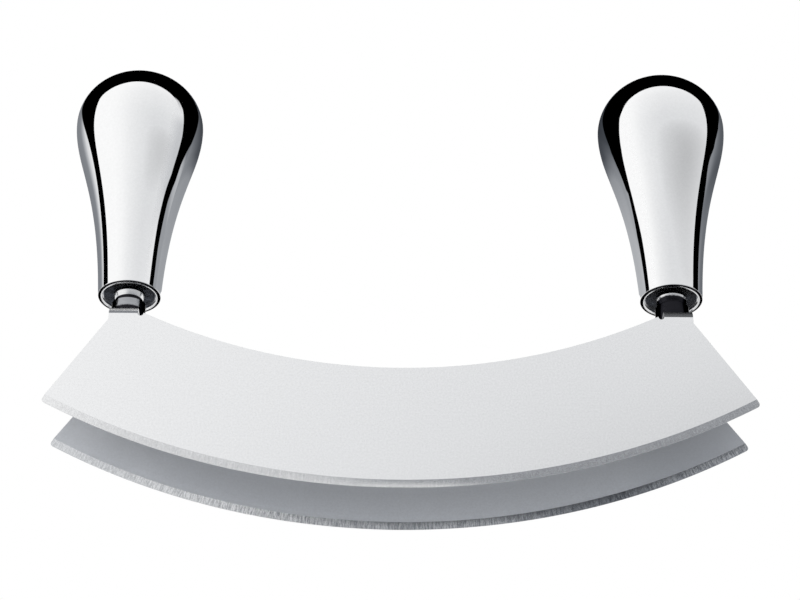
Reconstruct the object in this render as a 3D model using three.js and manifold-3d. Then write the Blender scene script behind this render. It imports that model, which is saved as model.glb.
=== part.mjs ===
// A two-handed mincing knife: two parallel curved blades, joined at their ends under two hollow handles.
// Millimetres, +Z up. X runs along the blades and Y across them, and the cutting edges touch z = 0.
import * as THREE from "three";
import { mergeVertices } from "three/addons/utils/BufferGeometryUtils.js";
import Module from "manifold-3d";

const wasm = await Module();
wasm.setup();

// Blades
const bladeLength = 220.6; // between the sharp corners of the tips, before they are rounded
const tipRise = 29.1; // the tips above the middle of the cutting edge
const sheet = 1.5; // thickness of the blade sheet
const bladeSpacing = 27.8; // between the middle planes of the two blades
const backHeight = 41.3; // the back edge above the cutting edge, at the middle
const bevelHeight = 2.3; // width of the ground bevel
const edgeLand = 0.1; // thickness left at the cutting edge
const tipRounding = 1.2; // length of the rounded corner along the edge and the end

// Tabs bent inwards at the ends of the blades
const hornHeight = 60.5; // where the front blade starts to bend
const hornShoulder = 2.2; // upright side of the horn below the bend
const hornLand = 0.2; // level stretch between the back edge and the notch
const tabWidth = 9;
const bendRadius = 1.4; // inside of the bend
const notchWidth = 1.8; // relief notch beside the bend
const notchDepth = 1;

// Handles
const handleInset = 23.6; // from the tip's sharp corner in to the handle's axis
const lipHeight = 75; // underside of the handle's lip
const mouthRadius = 10; // outside, at the lip
const bulbRadius = 20.9; // outside, at the widest place
const bulbHeight = 66.2; // from the lip to the widest place
const domeHeight = 18.9; // from the widest place to the top
const neckRun = 42; // pull of the neck's curve up from the lip
const neckFlare = 2.1; // how far that pull leans outwards
const bulbRun = 14.2; // pull of the curve down from the widest place
const shellWall = 1.5;

// End plugs, studs, nuts and washers
const plugRecess = 1; // plug's face above the lip
const plugThickness = 4;
const shankRadius = 3;
const shankOverrun = 2; // shank standing out above the nut
const collarRadius = 5.15; // against the plug, tapering down to the groove
const collarHeight = 2.4;
const grooveRadius = 4.2;
const grooveHeight = 0.9;
const neckRadius = 5.4;
const brokenEdge = 0.3; // chamfer on the turned pieces
const nutFlats = 10; // across the flats
const nutHeight = 5;
const washerRadius = 4.4;
const washerThickness = 1;
const footRadius = 4; // peened end of the stud
const footHeight = 1.5;

// Fits
const seatGap = 0.3; // between faces that sit on each other
const holeClearance = 0.3; // round the shank, on the radius
const plugClearance = 0.3; // round the plug, on the radius

// Facets
const edgeFacets = 240; // in a full turn of the cutting edge
const shellFacets = 36;
const smallFacets = 20;

// What follows from the driving dimensions
const halfLength = bladeLength / 2;
const edgeRadius = (halfLength ** 2 + tipRise ** 2) / (2 * tipRise);
const handleX = halfLength - handleInset;
const shankHole = shankRadius + holeClearance;
const frontTabBase = hornHeight + bendRadius;
const frontTabTop = frontTabBase + sheet;
const rearTabBase = frontTabBase - seatGap - sheet;
const washerBase = rearTabBase - seatGap - washerThickness;
const plugBase = lipHeight + plugRecess;
const nutBase = plugBase + plugThickness + seatGap;

const satinSteel = { color: 0xf2f3f4, roughness: 0.34, metalness: 1 };
const mirrorSteel = { color: 0xf9f9fa, roughness: 0.05, metalness: 1 };
const turnedSteel = { color: 0xd3d4d6, roughness: 0.25, metalness: 1 };
const dullSteel = { color: 0x45474d, roughness: 0.5, metalness: 1 };

function namedMesh(name, geometry, finish) {
  const mesh = new THREE.Mesh(geometry, new THREE.MeshStandardMaterial(finish));
  mesh.name = name;
  return mesh;
}

function toSolid(geometry) {
  const bare = geometry.clone();
  bare.deleteAttribute("normal");
  bare.deleteAttribute("uv");
  const merged = mergeVertices(bare, 1e-4);
  const vertProperties = merged.attributes.position.array;
  const triVerts = new Uint32Array(merged.index.array);
  return new wasm.Manifold(new wasm.Mesh({ numProp: 3, vertProperties, triVerts }));
}

function toGeometry(solid) {
  const mesh = solid.getMesh();
  const geometry = new THREE.BufferGeometry();
  geometry.setAttribute("position", new THREE.BufferAttribute(mesh.vertProperties, 3));
  geometry.setIndex(new THREE.BufferAttribute(mesh.triVerts, 1));
  geometry.computeVertexNormals();
  return geometry;
}

function point(across, up) {
  return new THREE.Vector2(across, up);
}

// Extrudes a shape along -Y, +Z or +X, with the shape's own axes laid along the other two.
function extrudeIn(plane, shape, depth, curveSegments) {
  const geometry = new THREE.ExtrudeGeometry(shape, { depth, curveSegments, bevelEnabled: false });
  if (plane === "XZ") geometry.rotateX(Math.PI / 2);
  if (plane === "YZ") geometry.rotateX(Math.PI / 2).rotateZ(Math.PI / 2);
  return geometry;
}

// Turns a profile of (radius, height) points, listed from the bottom up the outside, about Z.
function turn(profile, facets) {
  return new THREE.LatheGeometry(profile, facets).rotateX(Math.PI / 2);
}

// A turned ring with a hole and broken outer edges.
function turnRing(hole, radius, height) {
  const profile = [
    point(hole, 0),
    point(radius - brokenEdge, 0),
    point(radius, brokenEdge),
    point(radius, height - brokenEdge),
    point(radius - brokenEdge, height),
    point(hole, height),
    point(hole, 0),
  ];
  return turn(profile, smallFacets);
}

// Right half of the flat blank in the XZ plane, from the middle of the cutting edge round to the middle of
// the back. The blank reaches past the cutting edge, where grinding cuts it back.
function halfBlank(bendHeight) {
  const tabOuter = handleX + tabWidth / 2;
  const tabInner = handleX - tabWidth / 2;
  const notchInner = tabInner - notchWidth;
  const notchMiddle = tabInner - notchWidth / 2;
  const notchCentre = bendHeight - notchDepth + notchWidth / 2;
  const backReach = notchInner - hornLand;
  const backRise = hornHeight - backHeight;
  const backRadius = (backReach ** 2 + backRise ** 2) / (2 * backRise);
  const backSweep = Math.acos(1 - (bendHeight - backHeight) / backRadius);

  const tip = point(halfLength, tipRise);
  const shoulder = point(tabOuter, bendHeight - hornShoulder);
  const endStart = shoulder.clone().sub(tip).setLength(tipRounding).add(tip);
  const edgeEnd = point(halfLength - tipRounding, 0);
  edgeEnd.y = edgeRadius - Math.sqrt(edgeRadius ** 2 - edgeEnd.x ** 2);

  const half = new THREE.Path();
  half.moveTo(0, -bevelHeight);
  half.lineTo(edgeEnd.x, -bevelHeight);
  half.lineTo(edgeEnd.x, edgeEnd.y);
  half.quadraticCurveTo(tip.x, tip.y, endStart.x, endStart.y);
  half.lineTo(shoulder.x, shoulder.y);
  half.lineTo(tabOuter, bendHeight);
  half.lineTo(tabInner, bendHeight);
  half.absarc(notchMiddle, notchCentre, notchWidth / 2, 0, -Math.PI, true);
  half.lineTo(notchInner, bendHeight);
  half.absarc(0, backHeight + backRadius, backRadius, backSweep - Math.PI / 2, -Math.PI / 2, true);
  return half.getPoints(10);
}

// The stone's cut: a thin disc about the centre of the cutting edge, whose rim is the double bevel.
function groundDisc() {
  const slope = (sheet - edgeLand) / 2 / bevelHeight;
  const faceOffset = sheet; // outside the sheet's own faces
  const faceRadius = edgeRadius - (faceOffset - edgeLand / 2) / slope;
  const profile = [
    point(0, -faceOffset),
    point(faceRadius, -faceOffset),
    point(edgeRadius, -edgeLand / 2),
    point(edgeRadius, edgeLand / 2),
    point(faceRadius, faceOffset),
    point(0, faceOffset),
  ];
  return new THREE.LatheGeometry(profile, edgeFacets).translate(0, 0, edgeRadius);
}

// The tab over one horn: bent through a right angle towards +Y, with a round end and a hole round the stud.
function bentTab(bendHeight) {
  const outerRadius = bendRadius + sheet;
  const bendCentre = outerRadius - sheet / 2;
  const reach = bladeSpacing / 2 + tabWidth / 2;
  const section = new THREE.Shape();
  section.moveTo(sheet / 2, -hornShoulder);
  section.absarc(bendCentre, 0, bendRadius, Math.PI, Math.PI / 2, true);
  section.lineTo(reach, bendRadius);
  section.lineTo(reach, outerRadius);
  section.absarc(bendCentre, 0, outerRadius, Math.PI / 2, Math.PI, false);
  section.lineTo(-sheet / 2, -hornShoulder);
  const strip = extrudeIn("YZ", section, tabWidth, 8).translate(-tabWidth / 2, 0, bendHeight);

  const plan = new THREE.Shape();
  plan.moveTo(-tabWidth / 2, -sheet);
  plan.lineTo(tabWidth / 2, -sheet);
  plan.absarc(0, bladeSpacing / 2, tabWidth / 2, 0, Math.PI, false);
  plan.holes.push(new THREE.Path().absarc(0, bladeSpacing / 2, shankHole, 0, 2 * Math.PI, true));
  const height = hornShoulder + 2 * outerRadius;
  const cutter = extrudeIn("XY", plan, height, 12).translate(0, 0, bendHeight - hornShoulder - sheet);
  return toSolid(strip).intersect(toSolid(cutter));
}

// One blade with its sheet's middle plane at y = 0 and its tabs bent towards +Y.
function bladeGeometry(bendHeight) {
  const right = halfBlank(bendHeight);
  const left = right.slice(1, -1).reverse().map((p) => point(-p.x, p.y));
  const blank = extrudeIn("XZ", new THREE.Shape([...right, ...left]), sheet, 1).translate(0, sheet / 2, 0);
  const ground = toSolid(blank).intersect(toSolid(groundDisc()));
  const tab = bentTab(bendHeight);
  return toGeometry(ground.add(tab.translate(handleX, 0, 0)).add(tab.translate(-handleX, 0, 0)));
}

// Hollow club: the outside from the lip up to the top, then the inside back down to the mouth.
function shellGeometry() {
  const lipRadius = shellWall / 2;
  const top = bulbHeight + domeHeight;
  function sideCurve(inset) {
    return new THREE.CubicBezierCurve(
      point(mouthRadius - inset, lipRadius),
      point(mouthRadius + neckFlare - inset, neckRun),
      point(bulbRadius - inset, bulbHeight - bulbRun),
      point(bulbRadius - inset, bulbHeight),
    );
  }
  function domeCurve(inset) {
    return new THREE.EllipseCurve(0, bulbHeight, bulbRadius - inset, domeHeight - inset, 0, Math.PI / 2);
  }
  const lip = new THREE.EllipseCurve(mouthRadius - lipRadius, lipRadius, lipRadius, lipRadius, -Math.PI, 0);
  const profile = [
    ...sideCurve(shellWall).getPoints(10).reverse().slice(0, -1),
    ...lip.getPoints(6).slice(0, -1),
    ...sideCurve(0).getPoints(16).slice(0, -1),
    ...domeCurve(0).getPoints(9).slice(0, -1),
    point(0, top),
  ];
  const innerDome = domeCurve(shellWall).getPoints(6).slice(1, -1).reverse();
  return turn([point(0, top - shellWall), ...innerDome, ...profile], shellFacets);
}

// Turned stud from its peened foot up through the washer, the tabs, the plug and the nut.
function studGeometry() {
  const footTop = washerBase - seatGap;
  const neckBase = frontTabTop + seatGap;
  const collarTop = plugBase - seatGap;
  const collarBase = collarTop - collarHeight;
  const neckTop = collarBase - grooveHeight;
  const shankTop = nutBase + nutHeight + shankOverrun;
  const foot = new THREE.EllipseCurve(0, footTop, footRadius, footHeight, -Math.PI / 2, 0);
  const profile = [
    point(0, footTop - footHeight),
    ...foot.getPoints(5).slice(1),
    point(shankRadius, footTop),
    point(shankRadius, neckBase),
    point(neckRadius - brokenEdge, neckBase),
    point(neckRadius, neckBase + brokenEdge),
    point(neckRadius, neckTop - brokenEdge),
    point(neckRadius - brokenEdge, neckTop),
    point(grooveRadius, neckTop),
    point(grooveRadius, collarBase),
    point(collarRadius, collarTop),
    point(shankRadius, collarTop),
    point(shankRadius, shankTop - brokenEdge),
    point(shankRadius - brokenEdge, shankTop),
    point(0, shankTop),
  ];
  return turn(profile, smallFacets);
}

function nutGeometry() {
  const corner = nutFlats / Math.sqrt(3);
  const corners = new THREE.EllipseCurve(0, 0, corner, corner).getPoints(6).slice(0, -1);
  const outline = new THREE.Shape(corners);
  outline.holes.push(new THREE.Path().absarc(0, 0, shankHole, 0, 2 * Math.PI, true));
  return extrudeIn("XY", outline, nutHeight, 12);
}

// Everything on one handle's axis, in a group at the handle's place.
function handleGroup(side) {
  const shell = namedMesh(`${side}_handle_shell`, shellGeometry(), mirrorSteel);
  shell.position.z = lipHeight;
  const plugRadius = mouthRadius - shellWall - plugClearance;
  const plug = namedMesh(`${side}_end_plug`, turnRing(shankHole, plugRadius, plugThickness), dullSteel);
  plug.position.z = plugBase;
  const stud = namedMesh(`${side}_stud`, studGeometry(), turnedSteel);
  const nut = namedMesh(`${side}_lock_nut`, nutGeometry(), turnedSteel);
  nut.position.z = nutBase;
  const washer = turnRing(shankHole, washerRadius, washerThickness);
  const clench = namedMesh(`${side}_clench_washer`, washer, turnedSteel);
  clench.position.z = washerBase;
  const group = new THREE.Group();
  group.add(shell, plug, stud, nut, clench);
  group.position.x = side === "left" ? -handleX : handleX;
  return group;
}

const frontBlade = namedMesh("front_blade", bladeGeometry(hornHeight), satinSteel);
frontBlade.position.y = -bladeSpacing / 2;
// The rear blade is turned round, and its tabs lie under the front blade's.
const rearBlade = namedMesh("rear_blade", bladeGeometry(rearTabBase - bendRadius), satinSteel);
rearBlade.position.y = bladeSpacing / 2;
rearBlade.rotation.z = Math.PI;

const mincingKnife = new THREE.Group();
mincingKnife.add(frontBlade, rearBlade, handleGroup("left"), handleGroup("right"));

export default mincingKnife;
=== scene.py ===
import math

import bmesh
import bpy
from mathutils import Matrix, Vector
from mathutils.geometry import intersect_line_sphere_2d


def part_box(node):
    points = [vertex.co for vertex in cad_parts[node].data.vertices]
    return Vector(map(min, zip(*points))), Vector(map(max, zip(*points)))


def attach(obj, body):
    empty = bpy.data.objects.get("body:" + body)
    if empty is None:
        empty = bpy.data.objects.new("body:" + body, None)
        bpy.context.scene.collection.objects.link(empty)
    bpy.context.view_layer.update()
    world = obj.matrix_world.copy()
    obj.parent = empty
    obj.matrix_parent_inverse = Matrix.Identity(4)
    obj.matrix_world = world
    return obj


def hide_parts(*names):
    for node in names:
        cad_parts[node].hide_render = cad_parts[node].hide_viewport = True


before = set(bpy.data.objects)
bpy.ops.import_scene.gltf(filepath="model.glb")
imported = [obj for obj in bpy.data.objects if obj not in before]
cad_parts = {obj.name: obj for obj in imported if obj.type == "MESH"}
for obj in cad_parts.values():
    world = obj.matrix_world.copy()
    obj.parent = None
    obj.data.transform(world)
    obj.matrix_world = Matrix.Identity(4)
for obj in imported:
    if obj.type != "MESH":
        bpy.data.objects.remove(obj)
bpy.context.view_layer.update()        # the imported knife: metres, +Z up, cutting edges on z = 0
scene = bpy.context.scene
scene.view_settings.view_transform = "Standard"
mm = 0.001
sides = ("left", "right")
white, black = (1.0, 1.0, 1.0, 1.0), (0.0, 0.0, 0.0, 1.0)
coolPowers = (1.035, 1.0, 0.945)     # these make a grey slightly blue
noiseRange = (0.3, 0.7)              # most values of a noise lie in here
print("frame loaded, nodes:", len(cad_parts))


# node helpers
def addNode(tree, kind, inputs=None, **settings):
    made = tree.nodes.new(kind)
    for name, value in settings.items():
        setattr(made, name, value)
    for name, value in (inputs or {}).items():
        socket = made.inputs[name]
        if isinstance(value, bpy.types.NodeSocket):
            tree.links.new(value, socket)
        else:
            socket.default_value = value
    return made


def calc(tree, operation, first, second=0.0):
    return addNode(tree, "ShaderNodeMath", {0: first, 1: second}, operation=operation).outputs[0]


def spread(tree, value, low, high, toLow=0.0, toHigh=1.0):
    limits = {"Value": value, "From Min": low, "From Max": high, "To Min": toLow, "To Max": toHigh}
    return addNode(tree, "ShaderNodeMapRange", limits).outputs["Result"]


def lengthOf(tree, first, second):
    squares = calc(tree, "ADD", calc(tree, "MULTIPLY", first, first), calc(tree, "MULTIPLY", second, second))
    return calc(tree, "SQRT", squares)


def splitXyz(tree, vector):
    return addNode(tree, "ShaderNodeSeparateXYZ", {0: vector}).outputs


def objectPlace(tree):
    return addNode(tree, "ShaderNodeTexCoord").outputs["Object"]


def mixColor(tree, factor, first, second, blend="MIX"):
    inputs = {0: factor, 6: first, 7: second}
    return addNode(tree, "ShaderNodeMix", inputs, data_type="RGBA", blend_type=blend).outputs[2]


def mixValue(tree, factor, first, second):
    return addNode(tree, "ShaderNodeMix", {0: factor, 2: first, 3: second}, data_type="FLOAT").outputs[0]


def colorRamp(tree, value, stops, toColor):
    first, last = stops[0][0], stops[-1][0]
    ramp = addNode(tree, "ShaderNodeValToRGB", {0: spread(tree, value, first, last)})
    marks = ramp.color_ramp.elements
    for place, wanted in stops[1:-1]:
        marks.new((place - first) / (last - first))
    for mark, (place, wanted) in zip(marks, stops):
        mark.color = toColor(wanted)
    return ramp.outputs[0]


# cool greys by value, white at 1
def toneRamp(tree, value, stops):
    return colorRamp(tree, value, stops, lambda tone: (*[tone ** power for power in coolPowers], 1.0))


# a length by value
def lengthRamp(tree, value, stops):
    lengths = [length for place, length in stops]
    low, high = min(lengths), max(lengths)

    def grey(length):
        share = (length - low) / (high - low)
        return (share, share, share, 1.0)

    return spread(tree, colorRamp(tree, value, stops, grey), 0.0, 1.0, low, high)


def newGroup(name, inputs, outputs):
    tree = bpy.data.node_groups.new(name, "ShaderNodeTree")
    for label, kind in inputs.items():
        tree.interface.new_socket(label, in_out="INPUT", socket_type=kind)
    for label, kind in outputs.items():
        tree.interface.new_socket(label, in_out="OUTPUT", socket_type=kind)
    return tree, tree.nodes.new("NodeGroupInput").outputs, tree.nodes.new("NodeGroupOutput").inputs


def useGroup(tree, group, inputs):
    return addNode(tree, "ShaderNodeGroup", inputs, node_tree=group).outputs


def newSteel(name, roughness):
    material = bpy.data.materials.new(name)
    material.use_nodes = True
    tree = material.node_tree
    shader = tree.nodes["Principled BSDF"]
    shader.inputs["Metallic"].default_value = 1.0
    shader.inputs["Roughness"].default_value = roughness
    return material, tree, shader


def bump(tree, shader, height, strength, distance):
    made = addNode(tree, "ShaderNodeBump", {"Strength": strength, "Distance": distance, "Height": height})
    tree.links.new(made.outputs["Normal"], shader.inputs["Normal"])


# fine streaks along one direction, as a belt or a cloth leaves them, and the specks between them
def buildGrain():
    tree, given, out = newGroup(
        "steelGrain",
        {"Place": "NodeSocketVector", "Streaks": "NodeSocketVector", "Specks": "NodeSocketFloat"},
        {"Streak": "NodeSocketFloat", "Speck": "NodeSocketFloat"},
    )
    pulled = addNode(tree, "ShaderNodeVectorMath", {0: given["Place"], 1: given["Streaks"]},
                     operation="MULTIPLY")
    streak = addNode(tree, "ShaderNodeTexNoise", {"Vector": pulled.outputs[0], "Scale": 1.0, "Detail": 3.0})
    speck = addNode(tree, "ShaderNodeTexNoise",
                    {"Vector": given["Place"], "Scale": given["Specks"], "Detail": 2.0, "Roughness": 0.7})
    tree.links.new(streak.outputs[0], out["Streak"])
    tree.links.new(speck.outputs[0], out["Speck"])
    return tree


# broad cloudy patches, as hands leave them
def buildSmudge():
    tree, given, out = newGroup(
        "handSmudge",
        {"Place": "NodeSocketVector", "Size": "NodeSocketFloat"},
        {"Smudge": "NodeSocketFloat"},
    )
    broad = addNode(tree, "ShaderNodeTexNoise",
                    {"Vector": given["Place"], "Scale": given["Size"], "Detail": 5.0})
    patches = spread(tree, broad.outputs[0], 0.4, 0.75)
    tree.links.new(patches, out["Smudge"])
    return tree


steelGrain = buildGrain()
handSmudge = buildSmudge()

# blades
bladeShape = {
    "tipHalf": 110.3 * mm,       # half the length between the sharp corners
    "tipRise": 29.1 * mm,
    "sheet": 1.5 * mm,
    "spacing": 27.8 * mm,
    "backHeight": 41.3 * mm,
    "bevel": 2.3 * mm,
    "land": 0.1 * mm,
    "tipRounding": 1.2 * mm,
    "hornHeight": 60.5 * mm,     # where the front blade starts to bend
    "hornShoulder": 2.2 * mm,
    "hornLand": 0.2 * mm,
    "tabWidth": 9.0 * mm,
    "bendRadius": 1.4 * mm,
    "notchWidth": 1.8 * mm,
    "notchDepth": 1.0 * mm,
    "holeRadius": 3.3 * mm,
    "rearDrop": 1.8 * mm,        # rear tabs lie this much lower, under the front ones
    "edgeRounding": 0.25 * mm,
}
bladeLook = {
    "satin": (0.965, 0.968, 0.972, 1.0),
    "inner": (0.84, 0.858, 0.887, 1.0),       # faces between the blades, left from the mill
    "innerGapShade": 0.80,           # painted shade between the blades: darker further in, between these distances from the edge
    "gapShadeFrom": (12.0 * mm, 3.5 * mm),
    # painted shade of the inner faces towards the ends of the blades
    "innerEndShade": ((-0.106, 0.80), (-0.08, 1.0), (0.07, 1.0), (0.1, 0.72), (0.11, 0.72)),
    "bend": (0.30, 0.31, 0.33, 1.0),          # foot of the left bends, painted shade
    # painted highlight on the upper part of the left bends
    "bendTop": (0.93, 0.935, 0.94, 1.0),
    "bendTopFrom": (0.7 * mm, 1.1 * mm),      # heights above the foot
    "rightBendShade": (0.16, 0.163, 0.17, 1.0),    # the right ones darker still, painted shade
    "ground": (0.98, 0.982, 0.985, 1.0),
    "groundDark": (0.84, 0.845, 0.855, 1.0),
    "innerGround": (0.98, 0.99, 1.0, 1.0),
    "innerGroundDark": (0.42, 0.435, 0.46, 1.0),
    # painted shade of the inner bevel, by place along the blade
    "innerGroundShade": ((-0.106, 0.82), (-0.09, 0.90), (-0.08, 1.0), (-0.05, 1.0), (-0.03, 0.92), (0.0, 0.68),
                        (0.04, 0.60), (0.07, 0.48), (0.09, 0.86), (0.106, 1.0)),
    "grain": {"Streaks": (60.0, 900.0, 2600.0), "Specks": 1500.0},    # in a metre, streaks along each axis
    "satinRoughness": 0.20,
    "innerRoughness": 0.60,
    "bendRoughness": 0.5,
    "groundRoughness": 0.25,
    "grindLines": 520.0,         # lines in a radian of the edge
    "grindBreaks": 380.0,        # and how often they break off, in a metre
    "grindFaint": (-0.104, -0.035),  # they are faint at the left tip
    "grindShade": (0.74, 1.08),  # painted shade inside on the right: tone of the bevel at its top and at the cutting edge
    "shadeFrom": (2.0 * mm, 0.6 * mm),        # distances of the two from the edge
    "shadeSide": (-0.05, 0.0),   # where along the blade this sets in
}
edgeRadius = (bladeShape["tipHalf"] ** 2 + bladeShape["tipRise"] ** 2) / (2 * bladeShape["tipRise"])
handleAxis = sum(corner.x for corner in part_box("right_handle_shell")) / 2


def buildBladeSteel():
    look = bladeLook
    material, tree, shader = newSteel("bladeSteel", look["satinRoughness"])
    place = objectPlace(tree)
    x, y, z = splitXyz(tree, place)
    # distance and angle about the centre of the cutting edge
    drop = calc(tree, "SUBTRACT", edgeRadius, z)
    reach = lengthOf(tree, x, drop)
    angle = calc(tree, "ARCTAN2", x, drop)
    grindStart = edgeRadius - bladeShape["bevel"]
    onBevel = spread(tree, reach, grindStart - 0.06 * mm, grindStart + 0.06 * mm)
    grain = useGroup(tree, steelGrain, {"Place": place, **look["grain"]})

    # scratches across the bevel
    scratch = addNode(tree, "ShaderNodeCombineXYZ", {
        0: calc(tree, "MULTIPLY", angle, look["grindLines"]),
        1: calc(tree, "MULTIPLY", reach, look["grindBreaks"]),
    })
    lines = addNode(tree, "ShaderNodeTexNoise",
                    {"Vector": scratch.outputs[0], "Scale": 1.0, "Detail": 3.0, "Roughness": 0.75},
                    noise_dimensions="2D").outputs[0]
    lines = spread(tree, lines, 0.38, 0.62)
    fainter = spread(tree, x, *look["grindFaint"], 0.3, 1.0)
    lines = calc(tree, "SUBTRACT", 1.0, calc(tree, "MULTIPLY", calc(tree, "SUBTRACT", 1.0, lines), fainter))

    # satin outside, rougher inside and on the bends; painted shade between the blades, and painted shade and
    # highlight on the bends
    sheetMiddle = bladeShape["spacing"] / 2
    innerFace = sheetMiddle - bladeShape["sheet"] / 2
    fromMiddle = calc(tree, "ABSOLUTE", y)
    isInner = spread(tree, fromMiddle, innerFace + 0.05 * mm, innerFace + 0.15 * mm, 1.0, 0.0)
    satinTone = calc(tree, "MULTIPLY", spread(tree, grain["Streak"], *noiseRange, 0.994, 1.005),
                     spread(tree, grain["Speck"], *noiseRange, 0.95, 1.04))
    # painted shade: the inner faces darker further in between the blades and towards their ends
    deepStart, deepEnd = [edgeRadius - distance for distance in look["gapShadeFrom"]]
    deep = spread(tree, reach, deepStart, deepEnd, look["innerGapShade"], 1.0)
    inner = mixColor(tree, 1.0, look["inner"], deep, "MULTIPLY")
    inner = mixColor(tree, 1.0, inner, toneRamp(tree, x, look["innerEndShade"]), "MULTIPLY")
    satin = mixColor(tree, isInner, look["satin"], inner)
    # painted shade at the foot of the left bends and a painted highlight above it; the right bends all in
    # painted shade
    bendStart = bladeShape["hornHeight"]
    onBendTop = spread(tree, z, *[bendStart + height for height in look["bendTopFrom"]])
    bendTone = mixColor(tree, onBendTop, look["bend"], look["bendTop"])
    bendTone = mixColor(tree, calc(tree, "GREATER_THAN", x, 0.0), bendTone, look["rightBendShade"])
    onBend = spread(tree, z, bendStart - 0.2 * mm, bendStart)
    satin = mixColor(tree, onBend, satin, bendTone)
    satin = mixColor(tree, 1.0, satin, satinTone, "MULTIPLY")

    # ground bevel, with its own tones on the inside and painted shade along the inner bevel
    insideCut = spread(tree, fromMiddle, sheetMiddle - 0.03 * mm, sheetMiddle + 0.03 * mm, 1.0, 0.0)
    groundLight = mixColor(tree, insideCut, look["ground"], look["innerGround"])
    groundDark = mixColor(tree, insideCut, look["groundDark"], look["innerGroundDark"])
    ground = mixColor(tree, lines, groundDark, groundLight)
    stipple = spread(tree, grain["Speck"], *noiseRange, 0.88, 1.02)
    ground = mixColor(tree, 1.0, ground, stipple, "MULTIPLY")
    # painted shade on the inner bevel: darker towards the right, and at its top on the right
    groundEndShade = toneRamp(tree, x, look["innerGroundShade"])
    shadeStart, shadeEnd = [edgeRadius - distance for distance in look["shadeFrom"]]
    towardsEdge = spread(tree, reach, shadeStart, shadeEnd, *look["grindShade"])
    towardsEdge = mixValue(tree, spread(tree, x, *look["shadeSide"]), 1.0, towardsEdge)
    innerShade = mixColor(tree, 1.0, groundEndShade, towardsEdge, "MULTIPLY")
    ground = mixColor(tree, insideCut, ground, mixColor(tree, 1.0, ground, innerShade, "MULTIPLY"))
    tree.links.new(mixColor(tree, onBevel, satin, ground), shader.inputs["Base Color"])

    satinRough = mixValue(tree, isInner, look["satinRoughness"], look["innerRoughness"])
    satinRough = mixValue(tree, onBend, satinRough, look["bendRoughness"])
    satinRough = calc(tree, "ADD", satinRough, spread(tree, grain["Speck"], *noiseRange, -0.04, 0.04))
    rough = mixValue(tree, onBevel, satinRough, look["groundRoughness"])
    tree.links.new(rough, shader.inputs["Roughness"])
    height = mixValue(tree, onBevel, calc(tree, "MULTIPLY", grain["Speck"], 0.12), lines)
    bump(tree, shader, height, 0.25, 0.02 * mm)
    return material


def bladeOutline(bend):
    b = bladeShape
    tabOuter = handleAxis + b["tabWidth"] / 2
    tabInner = handleAxis - b["tabWidth"] / 2
    notchInner = tabInner - b["notchWidth"]
    backReach = notchInner - b["hornLand"]
    backRise = b["hornHeight"] - b["backHeight"]
    backRadius = (backReach ** 2 + backRise ** 2) / (2 * backRise)
    backSweep = math.acos(1 - (bend - b["backHeight"]) / backRadius)
    tip = Vector((b["tipHalf"], b["tipRise"]))
    shoulder = Vector((tabOuter, bend - b["hornShoulder"]))
    endStart = tip + (shoulder - tip).normalized() * b["tipRounding"]
    edgeSweep = math.asin((b["tipHalf"] - b["tipRounding"]) / edgeRadius)

    edgeSteps, roundSteps, notchSteps, backSteps = 110, 6, 10, 60
    cut = []
    for step in range(edgeSteps + 1):
        turn = edgeSweep * step / edgeSteps
        cut.append(Vector((edgeRadius * math.sin(turn), edgeRadius * (1 - math.cos(turn)))))
    edgeEnd = cut[-1]
    for step in range(1, roundSteps + 1):
        t = step / roundSteps
        cut.append((1 - t) ** 2 * edgeEnd + 2 * t * (1 - t) * tip + t ** 2 * endStart)
    grindReach = edgeRadius - b["bevel"]
    hits = intersect_line_sphere_2d(endStart, shoulder, Vector((0, edgeRadius)), grindReach)
    cut.append(next(hit for hit in hits if hit))

    top = [shoulder, Vector((tabOuter, bend)), Vector((tabInner, bend))]
    notchRadius = b["notchWidth"] / 2
    for step in range(notchSteps + 1):
        turn = -math.pi * step / notchSteps
        top.append(Vector((tabInner - notchRadius + notchRadius * math.cos(turn),
                           bend - b["notchDepth"] + notchRadius + notchRadius * math.sin(turn))))
    top.append(Vector((notchInner, bend)))
    for step in range(backSteps + 1):
        turn = backSweep * (1 - step / backSteps)
        top.append(Vector((backRadius * math.sin(turn), b["backHeight"] + backRadius * (1 - math.cos(turn)))))
    return cut, top


def mirrored(points):
    return [Vector((-p.x, p.y)) for p in points]


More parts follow.
